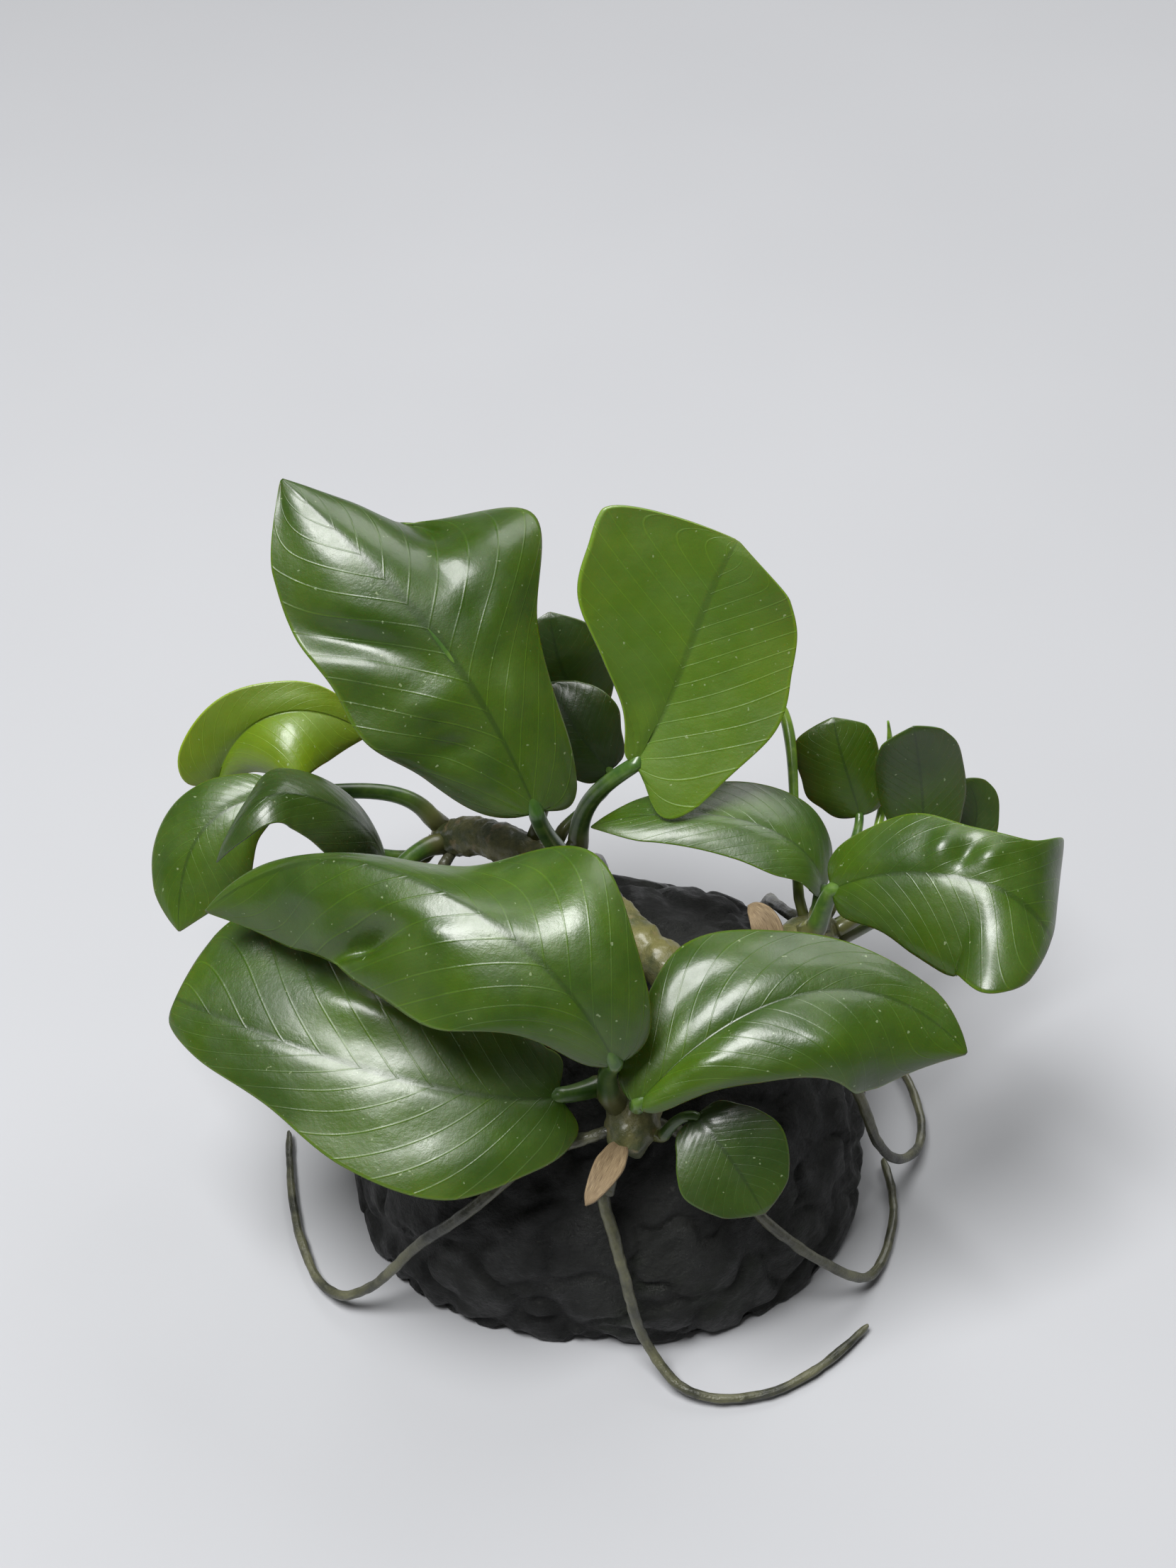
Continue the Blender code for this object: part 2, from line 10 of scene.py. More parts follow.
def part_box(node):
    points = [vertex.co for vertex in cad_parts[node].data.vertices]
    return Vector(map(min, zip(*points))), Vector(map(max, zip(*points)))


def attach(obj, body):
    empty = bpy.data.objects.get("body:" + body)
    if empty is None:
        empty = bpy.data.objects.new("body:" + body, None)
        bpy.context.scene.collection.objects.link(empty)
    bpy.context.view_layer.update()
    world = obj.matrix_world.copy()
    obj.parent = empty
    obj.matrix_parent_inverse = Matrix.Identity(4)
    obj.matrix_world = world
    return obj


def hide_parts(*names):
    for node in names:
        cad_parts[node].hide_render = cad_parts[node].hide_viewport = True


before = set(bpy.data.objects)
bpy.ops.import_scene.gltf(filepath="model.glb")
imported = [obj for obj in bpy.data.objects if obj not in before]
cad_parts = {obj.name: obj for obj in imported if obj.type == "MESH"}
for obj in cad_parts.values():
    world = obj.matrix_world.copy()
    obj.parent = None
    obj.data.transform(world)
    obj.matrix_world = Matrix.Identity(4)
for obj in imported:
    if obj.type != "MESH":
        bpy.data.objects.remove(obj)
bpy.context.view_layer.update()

MM = 0.001

# The camera stands before the plant and looks down on it: its place in
# metres, its angles in degrees and its lens in millimetres.
CAMERA_PLACE = (0.0002, -0.1834, 0.2546)
CAMERA_DOWN = 43.9
CAMERA_ROLL = 0.34
CAMERA_LENS = 53.7

# Blade outline. Shares are of the blade's length, from its base.
WIDTH_STATIONS = (0.1, 0.3, 0.5, 0.7, 0.9)
OUTER_STATIONS = (-0.1, 1.1)
END_WIDTH_SHARE = 0.5
BASE_REACH = 0.14
TIP_REACH = 0.16
TIP_SHARPNESS = 0.8
LEAST_HALF_WIDTH = 0.12
FIRST_ROW = 0.001
ROW_SPAN = 0.997
HOOK_START = 0.65
LOBE_FADE = 0.1
LOBE_ROUNDING = 1.6
FORWARD_BULGE = 0.06
BULGE_POWER = 1.6

# Blade surface.
SLOPE_STEPS = 13
SIDE_VEINS = 12
FINE_VEINS_EACH = 6
SWEEP = 0.28
VEIN_BOW = 0.9
VEIN_DEPTH = 0.035
VEIN_SHARPNESS = 6
VEIN_CLEAR_OF_RIB = 1.5
VEIN_TIP_FADE = 0.2
RIB_GROOVE_DEPTH = 0.22
RIB_GROOVE_WIDTH = 0.8
WAVE_ALONG = 2.6
WAVE_ACROSS = 1.7
WAVE_STEP = 7.3
WAVE_LENGTH_UNIT = 30
MARGIN_THICKNESS = 0.28
MIDDLE_THICKNESS = 0.62
TIP_THINNING = 0.06
LEAST_THICKNESS_SHARE = 0.3
LARGE_LEAF_LENGTH = 30
LARGE_LEAF_GRID = (110, 61)
SMALL_LEAF_GRID = (70, 41)
SHEATH_GRID = (30, 15)
SHEATH_SEED = 40

# Stalk, its ridge under the blade, and the shoots.
STALK_RADIUS = 1.15
STALK_RINGS = 30
STALK_LEAST_SCALE = 0.6
STALK_FOOT_RADIUS = 1.2
STALK_TAPER = (1.1, 0.85)
RIDGE_TAPER = (0.8, 0.16)
RIDGE_SPAN = (0.03, 0.8)
FOOT_SWELL = 0.12
FOOT_SWELL_RINGS = 4.0
SHOOT_RINGS = 60
SHOOT_RADII = (1, 0.9, 0.85, 0.95, 1.1, 1.0, 0.25)
TUBE_SIDES = 20

# Joins with the rhizome. A foot within FOOT_REACH metres of its skin is sunk
# in it. ROOT_RIM metres from its nearest corner take in a root's end ring,
# and ROOT_OVERLAP metres the start of its length.
FOOT_DEPTH = 1.0
FOOT_REACH = 0.004
NECK_RINGS = 8
FORK_NECK_RADIUS = 2.9
FORK_NECK = ((8.6, 10.4, 38.8), (10, 8.6, 38.6), (11.3, 7.1, 38.3), (12.6, 5.6, 37.9))
ROOT_NECK_RADIUS = 0.72
ROOT_RIM = 0.0019
ROOT_OVERLAP = 0.0095

# Wear of the stone, the rhizome and the roots, in metres. Blender's vector
# noise starts somewhere else on each run unless it is given a seed.
NOISE_SEED = 1
CRAG_SIZE = 0.011
CRAG_BEND = 0.35
CRAG_BEND_RATE = 2.3
CRACK_WIDTH = 0.16
CRACK_SHARE = 0.55
FACET_SHARE = 0.45
FACET_RATE = 1.4
SKIN_GRAIN = 0.0018
STONE_VOXEL = 0.0007
STONE_SMOOTHING = 8
STONE_DEPTH = 0.0016
RHIZOME_VOXEL = 0.00045
RHIZOME_SMOOTHING = 6
SMOOTHING_FACTOR = 0.6
RHIZOME_DEPTH = 0.0003
ROOT_DEPTH = 0.00012
ROOT_SUBDIVISION = 3
WELD_DISTANCE = 1e-6


def half(width, slope):
    """One side of a blade.

    width: half-widths in millimetres at WIDTH_STATIONS.
    slope: pairs of degrees that the surface rises, beside the midrib and at
    the margin, at even steps from the base to the tip.
    """
    return {"width": width, "slope": slope}


# rib: four guide points of the midrib, base first. stalk: the guide points
# from the rhizome to the base. face: the way the upper side looks, or for an
# arched leaf, across: the way its right-hand side points. lobe: how far the
# left and the right side sweep back past the base, as shares of the length.
# hook: how far the end of the midrib is curled away. blunt: how broadly the
# tip is rounded. look: its material. waves: the depth of its soft waves.
# folds and ripples: (place on the midrib, place across, depth, reach along,
# reach across); a fold follows the side veins and a ripple does not.
LEAVES = {
    "leaf_back_left_large": dict(
        rib=((-6, 16, 58), (-13, 21, 78), (-22, 26, 84), (-36, 39, 90)),
        stalk=((-2, 21.5, 42), (-3, 21, 47), (-5, 17, 52)),
        ripples=((0.6, 0.42, 1.1, 0.05, 0.1), (0.66, 0.66, -0.9, 0.05, 0.12),
                 (0.46, 0.3, -0.7, 0.05, 0.14), (0.33, -0.35, 0.8, 0.05, 0.3),
                 (0.2, -0.5, -0.7, 0.04, 0.35), (0.25, 0.4, 0.7, 0.06, 0.15)),
        face=(0, -0.72, 0.69), lobe=(0.02, 0.2), look="mid", waves=1.5,
        left=half((9.5, 14, 13, 12, 7.5), ((10, -20), (0, -10), (0, -10))),
        right=half((7.5, 11.5, 21, 14.5, 7.5),
                   ((-10, -40), (-5, -40), (0, -50), (-20, -90), (-30, -100))),
        folds=((0.52, 0.75, -4, 0.08, 0.4), (0.42, -0.6, -2, 0.08, 0.4))),
    "leaf_back_right_large": dict(
        rib=((6, 26.5, 56), (12, 31, 65), (13, 35, 74), (18, 38, 82)),
        stalk=((-1, 27, 41.5), (-1, 29, 47), (2, 27, 52)),
        face=(0, -0.72, 0.69), lobe=(0.05, 0.42), look="bright", waves=0.5,
        left=half((3.5, 9.5, 15, 16, 15.5), ((20, 20), (0, 20), (0, 10))),
        right=half((9.5, 13.5, 12.7, 11.3, 8), ((20, 10), (0, 0), (0, 0)))),
    "leaf_centre_large": dict(
        rib=((3.5, -16, 50), (-4, -15, 72), (-24, 6, 66.5), (-45, 6.5, 58)),
        stalk=((2.8, -11, 38.2), (2.5, -12, 43), (2.5, -14, 47)),
        ripples=((0.62, -0.62, -1.6, 0.06, 0.2), (0.5, -0.3, 0.9, 0.09, 0.16),
                 (0.78, -0.35, 0.6, 0.06, 0.2)),
        face=(-0.1, -0.45, 0.9), lobe=(0.02, 0.05), hook=(0, -1.5, -6), look="mid", waves=1.0,
        left=half((6, 13.5, 14, 12, 8.5), ((0, -30), (-5, -40), (-10, -40))),
        right=half((8, 14.5, 9, 4, 2),
                   ((20, -20), (10, -30), (-45, -65), (-45, -65), (0, -20))),
        folds=((0.44, -0.7, -2.5, 0.05, 0.35),)),
    "leaf_front_left_large": dict(
        rib=((-3, -11, 38), (-10, -16, 41), (-30, -12, 44), (-50, 1, 42)),
        stalk=((1.6, -8, 36), (0, -9, 36.5), (-1, -10, 37)),
        ripples=((0.74, 0.88, 0.8, 0.03, 0.2), (0.81, 0.9, -0.8, 0.03, 0.2),
                 (0.89, 0.88, 0.8, 0.03, 0.2), (0.6, 0.45, 0.9, 0.12, 0.16),
                 (0.4, -0.4, -0.6, 0.1, 0.25)),
        across=(-0.03, 0.9, 0.42), lobe=(0.2, 0.2), hook=(0.7, 0, -1), blunt=6,
        look="mid", waves=1.0,
        left=half((7.5, 12.5, 11.5, 7.5, 5.5), ((0, -20), (0, -20), (0, -20))),
        right=half((7, 13, 15, 15, 16), ((5, 0), (5, -10), (0, -20)))),
    "leaf_front_right_large": dict(
        rib=((6, -16.5, 43), (14, -12, 53), (31, -1, 57), (44, -11, 46)),
        stalk=((8, -9.5, 39), (8, -12, 41), (6.5, -14.5, 41)),
        ripples=((0.3, -0.5, -0.9, 0.12, 0.2), (0.22, 0.4, 0.5, 0.06, 0.2),
                 (0.55, 0.6, 0.5, 0.08, 0.2)),
        face=(0, -0.4, 0.9), lobe=(0.05, 0.02), look="mid", waves=0.8,
        left=half((6.5, 12, 9, 5.5, 3.5), ((10, -20), (10, -40), (0, -40))),
        right=half((4.2, 8.5, 11, 12.3, 9.5), ((40, -40), (30, -50), (0, -50)))),
    "leaf_right": dict(
        rib=((30, 13, 48), (37, 10, 57), (48, 6, 58), (55, 3, 54)),
        stalk=((28.6, 13.3, 40.9), (29.2, 13.2, 44), (29.4, 13.2, 46)),
        ripples=((0.45, -0.5, 0.8, 0.04, 0.3), (0.54, -0.45, -0.8, 0.04, 0.3),
                 (0.63, -0.5, 0.6, 0.04, 0.25)),
        across=(0, -0.89, -0.46), lobe=(0.1, 0.1), hook=(0, 0, -4), blunt=6,
        look="mid", waves=0.9,
        left=half((5.5, 7.5, 6.5, 7.5, 14), ((10, -10), (20, -20), (0, -20))),
        right=half((5.5, 10, 12, 11.5, 12), ((0, -30), (0, -45), (0, -15)))),
    "leaf_middle": dict(
        rib=((29.5, 18, 42.5), (29, 19, 50.5), (18, 24.5, 53.5), (0.5, 22.5, 49)),
        stalk=((29.5, 17.2, 39.8), (29.5, 17.4, 41), (29.5, 18, 42)),
        across=(0.3, 1, 0), lobe=(0.05, 0.15), look="mid", waves=0.3,
        left=half((3, 5.3, 5.3, 4.5, 3.2), ((0, -20), (0, -40), (0, -30))),
        right=half((5.5, 7.3, 7, 5.3, 3.2), ((10, -10), (10, -10), (0, -10)))),
    "leaf_left_rear": dict(
        rib=((-48, 36, 43), (-46, 37, 53), (-37, 38, 59), (-28, 38, 50)),
        stalk=((-21, 40, 33.5), (-26, 43, 40), (-40, 36, 38)),
        face=(0.1, -0.6, 0.8), lobe=(0.1, 0.03), look="young", waves=0.3,
        left=half((6, 5.5, 4.2, 3.5, 2), ((20, 20), (20, 10), (10, 0))),
        right=half((3, 7, 9, 8.5, 5), ((30, -10), (30, -20), (10, -20)))),
    "leaf_left_round": dict(
        rib=((-39, 26, 51), (-45, 24, 51), (-51, 23, 49), (-51, 15, 37.5)),
        stalk=((-21.9, 36.9, 28.9), (-30, 34, 30), (-37, 30, 42)),
        face=(-0.2, -0.6, 0.75), lobe=(0.05, 0.05), look="mid", waves=0.3,
        left=half((4, 7, 8, 8, 5), ((0, -20), (0, -30), (0, -20))),
        right=half((3.5, 5, 6, 5.5, 3.5), ((0, -20), (0, -30), (0, -20)))),
    "leaf_left_curled": dict(
        rib=((-26, 28, 34), (-25, 22, 53), (-36, 20, 61), (-46, 16, 58)),
        stalk=((-20.6, 35.8, 32.1), (-24, 33, 33), (-26, 30, 31)),
        across=(0, 1, 0), lobe=(0.05, 0.05), hook=(1, -1, -8), look="deep", waves=0.3,
        left=half((3, 6, 5, 3.5, 2.5), ((-10, -30), (-20, -45), (-10, -30))),
        right=half((3, 4.5, 5.5, 5, 3), ((0, -30), (0, -30), (0, -20)))),
    "leaf_rear_upper": dict(
        rib=((0, 46, 46), (-3, 48, 51), (-4, 47, 55), (-5, 51, 60)),
        stalk=((-6, 32, 41), (-4, 40, 44), (0, 46, 42)),
        face=(0, -0.72, 0.69), lobe=(0.09, 0.09), look="deep", waves=0.3,
        left=half((6, 9, 9, 7, 4), ((0, 0), (0, 0), (0, 0))),
        right=half((5, 8, 8, 6, 4), ((0, 0), (0, 0), (0, 0)))),
    "leaf_rear_lower": dict(
        rib=((3, 38, 44), (-1, 38, 50), (-3, 40, 52), (-5, 44, 54)),
        stalk=((-3, 30, 41), (0, 33, 43), (4, 37, 41)),
        face=(0, -0.72, 0.69), lobe=(0.09, 0.09), look="deep", waves=0.3,
        left=half((4, 6, 6, 5, 3), ((0, 0), (0, 0), (0, 0))),
        right=half((4, 6, 6, 5, 3), ((0, 0), (0, 0), (0, 0)))),
    "leaf_right_rear_round": dict(
        rib=((36, 36, 38), (35, 37, 42), (33, 38, 46), (32, 42, 50)),
        stalk=((31.5, 21.4, 36.4), (34, 29, 38), (36, 34, 36)),
        face=(0, -0.72, 0.69), lobe=(0.1, 0.1), look="mid", waves=0.3,
        left=half((4, 6, 6, 6, 5), ((0, -30), (0, -30), (0, -20))),
        right=half((4, 5, 5, 5, 4), ((0, -20), (0, -20), (0, -20)))),
    "leaf_right_rear_upright": dict(
        rib=((44, 32, 38), (44, 35, 42), (43, 36, 47), (41.5, 36, 54)),
        stalk=((33.7, 19.2, 35.3), (40, 24, 35), (43, 30, 34)),
        face=(0, -0.72, 0.69), lobe=(0.1, 0.1), look="deep", waves=0.3,
        left=half((4.5, 5.5, 5.8, 5.5, 4), ((0, -20), (0, -20), (0, -20))),
        right=half((5, 6, 6, 5.5, 3.5), ((0, -20), (0, -20), (0, -20)))),
    "leaf_right_rear_small": dict(
        rib=((50, 35, 31), (52, 37, 34), (53, 39, 37), (50, 40, 41)),
        stalk=((33.2, 19.2, 32.6), (42, 27, 30), (48, 34, 28)),
        face=(0, -0.72, 0.69), lobe=(0.09, 0.09), look="deep", waves=0.3,
        left=half((3, 4, 4, 3, 2), ((0, 0), (0, 0), (0, 0))),
        right=half((2, 3, 3, 3, 2), ((0, 0), (0, 0), (0, 0)))),
    "leaf_front_lower": dict(
        rib=((13, -14, 38), (15, -17, 38), (18, -19, 35), (21, -22, 30)),
        stalk=((9.3, -13, 33), (10, -13.5, 35), (11, -13.5, 38)),
        face=(0, -0.6, 0.8), lobe=(0.09, 0.09), look="deep", waves=0.3,
        left=half((4, 6, 7, 6, 4), ((0, 0), (0, 0), (0, 0))),
        right=half((4, 6, 7, 6, 4), ((0, 0), (0, 0), (0, 0)))),
}

# Dry remnants of old leaf sheaths: a curled flake with no stalk.
SHEATHS = {
    "sheath_right": dict(
        rib=((24.5, 8, 41), (23, 10, 44), (21.5, 12, 45), (20, 14, 44)),
        face=(-0.5, -0.3, 0.8), lobe=(0, 0),
        left=half((1.6, 2, 1.9, 1.4, 0.8), ((0, 20), (0, 30), (0, 20))),
        right=half((1.6, 2, 1.9, 1.4, 0.8), ((0, 20), (0, 30), (0, 20)))),
    "sheath_front": dict(
        rib=((4, -16, 32.2), (3, -18.4, 34), (1.8, -20.8, 34.3), (0.2, -23, 32.8)),
        face=(0, -0.3, 0.95), lobe=(0, 0),
        left=half((1.4, 1.8, 1.6, 1.2, 0.7), ((0, 20), (0, 30), (0, 20))),
        right=half((1.4, 1.8, 1.6, 1.2, 0.7), ((0, 20), (0, 30), (0, 20)))),
}

# Rolled young leaves: guide points and the radius at the foot.
SHOOTS = {
    "shoot_rear": (((27, 20, 39), (26, 31, 46), (28, 44, 48), (24, 44, 52)), 0.7),
    "shoot_new": (((33, 21.5, 33.5), (37, 32, 30), (42, 44, 36), (39.5, 43.5, 48)), 0.6),
}


def unit(vector):
    """A vector, or each row of an array of them, at length one."""
    length = np.linalg.norm(vector, axis=-1, keepdims=True)
    return vector / np.maximum(length, 1e-9)


def bezier(guide, along):
    """Points of a cubic Bezier curve with four guide points."""
    t = np.asarray(along, float)[..., None]
    a, b, c, d = np.asarray(guide, float)
    return (1 - t) ** 3 * a + 3 * (1 - t) ** 2 * t * b + 3 * (1 - t) * t ** 2 * c + t ** 3 * d


def bezier_slope(guide, along):
    """How fast a cubic Bezier curve moves, and which way."""
    t = np.asarray(along, float)[..., None]
    a, b, c, d = np.asarray(guide, float)
    return 3 * ((1 - t) ** 2 * (b - a) + 2 * (1 - t) * t * (c - b) + t ** 2 * (d - c))


def smooth_between(stations, values, along):
    """Values read smoothly between evenly spaced stations."""
    stations = np.asarray(stations, float)
    values = np.asarray(values, float)
    slope = np.gradient(values, stations)
    low = np.clip(np.searchsorted(stations, along) - 1, 0, len(stations) - 2)
    step = stations[1] - stations[0]
    f = (along - stations[low]) / step
    return ((2 * f ** 3 - 3 * f ** 2 + 1) * values[low]
            + (f ** 3 - 2 * f ** 2 + f) * step * slope[low]
            + (3 * f ** 2 - 2 * f ** 3) * values[low + 1]
            + (f ** 3 - f ** 2) * step * slope[low + 1])


def base_rounding(along):
    """The share of the full width that a blade has near its base."""
    return np.sqrt(1 - (1 - np.clip(along / BASE_REACH, 0, 1)) ** 2)


def half_width(widths, along, blunt):
    """A blade's half-width: rounded at the base, drawn to a point at the tip."""
    stations = OUTER_STATIONS[:1] + WIDTH_STATIONS + OUTER_STATIONS[1:]
    values = (widths[0],) + widths + (END_WIDTH_SHARE * widths[-1],)
    body = smooth_between(stations, values, along)
    base = base_rounding(along)
    near_tip = np.clip((1 - along) / TIP_REACH, 0, 1)
    tip = np.sin(0.5 * math.pi * near_tip) ** (TIP_SHARPNESS / blunt)
    return np.maximum(body * base * tip, LEAST_HALF_WIDTH)


def midrib_frame(leaf, along):
    """Point, direction, upper side and right-hand side of the midrib."""
    curl = np.clip((along - HOOK_START) / (1 - HOOK_START), 0, 1)[..., None]
    hook = np.asarray(leaf.get("hook", (0, 0, 0)), float)
    point = bezier(leaf["rib"], along) + hook * curl ** 2
    forward = unit(bezier_slope(leaf["rib"], along) + hook * 2 * curl / (1 - HOOK_START))
    if "across" in leaf:
        right = unit(np.asarray(leaf["across"], float))
        right = unit(right - (forward @ right)[..., None] * forward)
        return point, forward, np.cross(right, forward), right
    up = unit(np.asarray(leaf["face"], float))
    up = unit(up - (forward @ up)[..., None] * forward)
    return point, forward, up, np.cross(forward, up)


def rib_length(leaf):
    """The midrib's length, leaving out its hook."""
    points = bezier(leaf["rib"], np.linspace(0, 1, 50))
    return float(np.linalg.norm(np.diff(points, axis=0), axis=1).sum())


def bank(leaf, side, along, reach):
    """A blade's half-width, and how far its surface at a place runs out and rises."""
    width = half_width(leaf[side]["width"], along, leaf.get("blunt", 1))
    slope = np.asarray(leaf[side]["slope"], float)
    stations = np.linspace(0, 1, len(slope))
    inner = smooth_between(stations, slope[:, 0], along)
    outer = smooth_between(stations, slope[:, 1], along)
    part = np.linspace(0, reach, SLOPE_STEPS)
    angle = np.radians(inner[:, None] + (outer - inner)[:, None] * part)
    out = width * np.cos(angle).mean(axis=1) * reach
    lift = width * np.sin(angle).mean(axis=1) * reach
    return width, out, lift


def relief(leaf, along, across, width, seed):
    """Height of the folds, ripples, waves, midrib groove and side veins."""
    reach = abs(across)
    lift = np.zeros_like(along)
    for place, side_place, depth, long_reach, side_reach in leaf.get("folds", ()):
        swept = along - SWEEP * reach - place
        near = (swept / long_reach) ** 2 + ((across - side_place) / side_reach) ** 2
        lift = lift + depth * np.exp(-near)
    for place, side_place, depth, long_reach, side_reach in leaf.get("ripples", ()):
        near = ((along - place) / long_reach) ** 2 + ((across - side_place) / side_reach) ** 2
        lift = lift + depth * np.exp(-near)
    if leaf.get("waves"):
        rate = WAVE_ALONG * rib_length(leaf) / WAVE_LENGTH_UNIT
        wave = np.array([noise.noise(Vector((rate * t, across * WAVE_ACROSS, seed * WAVE_STEP)))
                         for t in along])
        fade = reach ** 0.7 * np.sin(math.pi * np.clip(along, 0, 1)) ** 0.5
        lift = lift + leaf["waves"] * wave * fade
    from_rib = reach * width
    groove = np.exp(-(from_rib / RIB_GROOVE_WIDTH) ** 2) * np.clip(1.1 - along, 0, 1)
    vein = np.cos(2 * math.pi * SIDE_VEINS * (along - SWEEP * reach ** VEIN_BOW)) * 0.5 + 0.5
    fade = (np.clip(from_rib / VEIN_CLEAR_OF_RIB, 0, 1) * (1 - reach ** 4)
            * np.clip((1 - along) / VEIN_TIP_FADE, 0, 1))
    return lift - RIB_GROOVE_DEPTH * groove - VEIN_DEPTH * vein ** VEIN_SHARPNESS * fade


def blade_points(leaf, along, across, seed):
    """Places on a blade's middle surface; across runs from -1 to 1."""
    side = "right" if across > 0 else "left"
    reach = abs(across)
    width, out, lift = bank(leaf, side, along, reach)
    lift = lift + relief(leaf, along, across, width, seed)
    lobe = leaf["lobe"][int(across > 0)]
    backward = lobe * np.exp(-along / LOBE_FADE) * base_rounding(along) ** LOBE_ROUNDING
    forward = FORWARD_BULGE * np.sin(math.pi * along)
    moved = along + (forward - backward) * reach ** BULGE_POWER
    inside = np.clip(moved, 0, 1)
    point, ahead, up, right = midrib_frame(leaf, inside)
    point = point + ahead * ((moved - inside) * rib_length(leaf))[:, None]
    return point + np.sign(across) * right * out[:, None] + up * lift[:, None]


def grid_faces(rows, columns, first, flip):
    """Quads of one sheet of a grid whose points start at an index."""
    faces = []
    for row in range(rows - 1):
        for column in range(columns - 1):
            a = first + row * columns + column
            quad = (a, a + 1, a + columns + 1, a + columns)
            faces.append(quad[::-1] if flip else quad)
    return faces


def blade_shell(leaf, seed, rows, columns):
    """Points, faces and leaf coordinates of a closed blade.

    The coordinates are the place across, the place along, and 1 above or 0
    below.
    """
    turn = np.linspace(0, math.pi, rows)
    crowded = 0.5 * np.linspace(0, 1, rows) + 0.25 * (1 - np.cos(turn))
    along = FIRST_ROW + ROW_SPAN * crowded
    across = np.linspace(-1, 1, columns)
    sheet = np.stack([blade_points(leaf, along, a, seed) for a in across], axis=1)
    ahead = np.gradient(sheet, axis=0)
    aside = np.gradient(sheet, axis=1)
    normal = unit(np.cross(aside, ahead))
    thick = MIDDLE_THICKNESS + (MARGIN_THICKNESS - MIDDLE_THICKNESS) * across ** 2
    thinning = np.clip((1 - along) / TIP_THINNING + LEAST_THICKNESS_SHARE, 0, 1)
    thick = thick[None, :] * thinning[:, None]
    top = sheet + normal * 0.5 * thick[..., None]
    under = sheet - normal * 0.5 * thick[..., None]
    points = np.concatenate((top.reshape(-1, 3), under.reshape(-1, 3)))
    count = rows * columns
    faces = grid_faces(rows, columns, 0, False) + grid_faces(rows, columns, count, True)
    rim = (list(range(columns))
           + [row * columns + columns - 1 for row in range(1, rows)]
           + [(rows - 1) * columns + column for column in range(columns - 2, -1, -1)]
           + [row * columns for row in range(rows - 2, 0, -1)])
    for a, b in zip(rim, rim[1:] + rim[:1]):
        faces.append((b, a, a + count, b + count))
    sideways, lengthways = np.meshgrid(across, along)
    above = np.stack((sideways.ravel(), lengthways.ravel(), np.ones(count)), axis=1)
    below = above * (1, 1, 0)
    return points, faces, np.concatenate((above, below))


def tube_shell(points, radii):
    """Points, faces and coordinates of a closed tapered tube."""
    points = np.asarray(points, float)
    ahead = unit(np.gradient(points, axis=0))
    side = np.cross(ahead[0], (0.0, 0.0, 1.0))
    if np.linalg.norm(side) < 0.1:
        side = np.array((1.0, 0.0, 0.0))
    sides = TUBE_SIDES
    turn = np.linspace(0, 2 * math.pi, sides, endpoint=False)[:, None]
    rings = []
    for place, way, radius in zip(points, ahead, radii):
        side = unit(side - (side @ way) * way)
        other = np.cross(way, side)
        rings.append(place + radius * (np.cos(turn) * side + np.sin(turn) * other))
    count = len(points)
    shell = np.concatenate(rings)
    faces = []
    for ring in range(count - 1):
        for k in range(sides):
            a, b = ring * sides + k, ring * sides + (k + 1) % sides
            faces.append((a, b, b + sides, a + sides))
    faces.append(tuple(range(sides - 1, -1, -1)))
    faces.append(tuple((count - 1) * sides + k for k in range(sides)))
    along = np.repeat(np.linspace(0, 1, count), sides)
    coords = np.stack((np.zeros_like(along), along, np.full_like(along, 1.0)), axis=1)
    return shell, faces, coords


def crown_skin():
    """The rhizome's surface, for finding where a stalk, shoot or sheath joins it."""
    points, faces = [], []
    for node in ("rhizome_main", "rhizome_back_fork"):
        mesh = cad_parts[node].data
        start = len(points)
        points += [vert.co.copy() for vert in mesh.vertices]
        faces += [tuple(start + k for k in face.vertices) for face in mesh.polygons]
    return BVHTree.FromPolygons(points, faces)


def sunk_foot(start, ahead):
    """Where a part that starts near the rhizome has its foot, buried in the skin."""
    skin, normal, _, gap = CROWN_SKIN.find_nearest(Vector(start) * MM)
    if gap > FOOT_REACH:
        return start - unit(ahead - start) * FOOT_DEPTH
    return np.array(skin - normal * FOOT_DEPTH * MM) / MM


def stalk_shell(leaf):
    """The stalk, swollen and sunk at its foot, running on under the blade as a ridge."""
    stalk = bezier(leaf["stalk"] + leaf["rib"][:1], np.linspace(0, 1, STALK_RINGS))
    foot = sunk_foot(stalk[0], stalk[1])
    scale = min(1.0, max(STALK_LEAST_SCALE, rib_length(leaf) / LARGE_LEAF_LENGTH))
    taper = np.concatenate(((STALK_FOOT_RADIUS,), np.linspace(*STALK_TAPER, STALK_RINGS),
                            np.linspace(*RIDGE_TAPER, STALK_RINGS)))
    swell = 1 + FOOT_SWELL * np.exp(-(np.arange(len(taper)) / FOOT_SWELL_RINGS) ** 2)
    radii = STALK_RADIUS * taper * swell * scale
    point, _, up, _ = midrib_frame(leaf, np.linspace(*RIDGE_SPAN, STALK_RINGS))
    ridge = point - up * radii[-STALK_RINGS:, None]
    return tube_shell(np.concatenate((foot[None], stalk, ridge)), radii)


